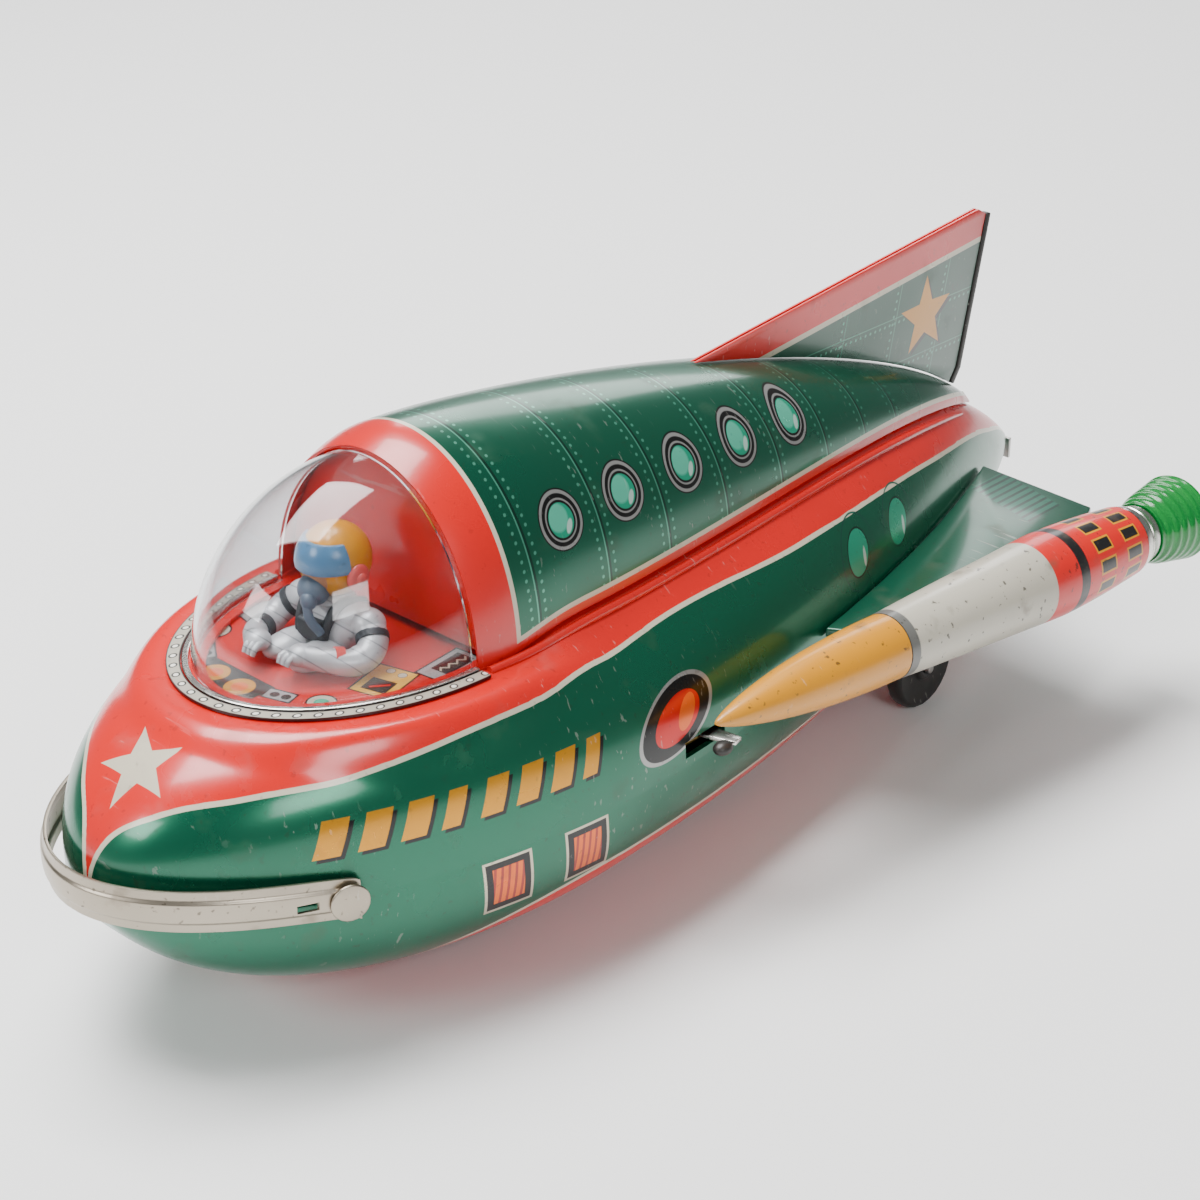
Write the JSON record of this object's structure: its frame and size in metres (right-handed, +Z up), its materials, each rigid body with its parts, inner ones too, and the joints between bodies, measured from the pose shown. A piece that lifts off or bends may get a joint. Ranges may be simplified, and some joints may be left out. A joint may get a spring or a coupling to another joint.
{
  "type": "toy space rocket",
  "caption": "Pressed tin space rocket toy with a clear cockpit dome, side pods, tail fin, nose bumper and a swivelling drive unit under the belly.",
  "frame": {"origin": "on the floor under the wheels, at the centre of the bounding box base", "axes": "+X towards the left side of the toy, -Y towards its nose, +Y towards its tail, +Z up"},
  "size_m": [0.1772, 0.3522, 0.1255],
  "materials": {
    "green_tin": "glossy metallic green enamel",
    "red_tin": "glossy coral red enamel",
    "cream_tin": "glossy cream enamel",
    "yellow_tin": "glossy deep yellow enamel",
    "black_tin": "dark enamel on a folded edge",
    "nickel": "dull warm nickel plate",
    "steel": "plain zinc plated steel",
    "brass": "plain stamped brass",
    "black_plastic": "moulded black plastic",
    "rubber": "matte black rubber",
    "clear_plastic": "clear, slightly smoky moulding",
    "green_plastic": "translucent green moulding",
    "gear_plastic": "natural nylon",
    "silver_suit": "silver printed figure",
    "helmet_yellow": "yellow printed helmet",
    "battery_jacket": "blue jacket over a dry cell",
    "lamp_glass": "clear bulb"
  },
  "bodies": {
    "hull": {"battery_box": "black_plastic", "battery_contact_front": "brass", "battery_contact_rear": "brass", "battery_left": "battery_jacket", "battery_right": "battery_jacket", "bumper": "nickel", "bumper_tab_left": "nickel", "bumper_tab_right": "nickel", "cabin_bulkhead": "red_tin", "cabin_fuselage": "green_tin", "canopy_dome": "clear_plastic", "canopy_rim": "nickel", "cockpit_deck": "red_tin", "deck_ring": "cream_tin", "drive_bridge": "steel", "fin_edge": "black_tin", "lower_hull": "green_tin", "pilot_arm_left": "silver_suit", "pilot_arm_right": "silver_suit", "pilot_helmet": "helmet_yellow", "pilot_torso": "silver_suit", "pod_barrel_left": "cream_tin", "pod_barrel_right": "cream_tin", "pod_lamp_holder_left": "brass", "pod_lamp_holder_right": "brass", "pod_lamp_left": "lamp_glass", "pod_lamp_right": "lamp_glass", "pod_nose_left": "yellow_tin", "pod_nose_right": "yellow_tin", "pod_nozzle_left": "green_plastic", "pod_nozzle_right": "green_plastic", "pod_ring_left": "nickel", "pod_ring_right": "nickel", "rear_bracket_left": "steel", "rear_bracket_right": "steel", "switch_plate": "brass", "switch_rivet": "nickel", "tail_fin_left": "green_tin", "tail_fin_right": "green_tin", "tail_tab": "steel", "upper_hull": "green_tin", "wing_left": "green_tin", "wing_right": "green_tin"},
    "rear_wheels": {"rear_axle": "steel", "rear_wheel_left": "black_plastic", "rear_wheel_right": "black_plastic"},
    "drive_unit": {"turntable_frame": "steel", "pivot_pin": "steel", "drive_motor": "steel"},
    "drive_wheels": {"drive_axle": "steel", "drive_gear": "brass", "drive_wheel_left": "rubber", "drive_wheel_right": "rubber"},
    "layshaft": {"layshaft": "steel", "layshaft_gear": "gear_plastic"},
    "motor_rotor": {"motor_pinion": "brass", "motor_shaft": "steel"},
    "switch_lever": {"switch_lever": "nickel"},
    "battery_door": {"battery_door": "green_tin", "door_screw": "nickel"}
  },
  "joints": [
    {"name": "rear_axle_spin", "type": "hinge", "parent": "hull", "child": "rear_wheels", "pos_m": [0, 0.0872, 0.0125], "axis": [1, 0, 0], "continuous": true},
    {"name": "turntable_swivel", "type": "hinge", "parent": "hull", "child": "drive_unit", "pos_m": [0, -0.0753, 0], "axis": [0, 0, 1], "continuous": true},
    {"name": "drive_wheel_spin", "type": "hinge", "parent": "drive_unit", "child": "drive_wheels", "pos_m": [0, -0.0683, 0.0115], "axis": [1, 0, 0], "continuous": true},
    {"name": "layshaft_spin", "type": "hinge", "parent": "drive_unit", "child": "layshaft", "pos_m": [0, -0.0733, 0.02186], "axis": [1, 0, 0], "continuous": true},
    {"name": "motor_spin", "type": "hinge", "parent": "drive_unit", "child": "motor_rotor", "pos_m": [0, -0.0763, 0.0342], "axis": [1, 0, 0], "continuous": true},
    {"name": "switch_swing", "type": "hinge", "parent": "hull", "child": "switch_lever", "pos_m": [0.042, -0.0313, 0.0473], "axis": [0, 0, 1], "range_deg": [-24, 0]},
    {"name": "battery_door_hinge", "type": "hinge", "parent": "hull", "child": "battery_door", "pos_m": [0, 0.0281, 0.0087], "axis": [1, 0, 0], "range_deg": [0, 100]}
  ],
  "couplings": [
    {"joint": "layshaft_spin", "follows": "drive_wheel_spin", "ratio": -1.8},
    {"joint": "motor_spin", "follows": "drive_wheel_spin", "ratio": 4.4}
  ]
}
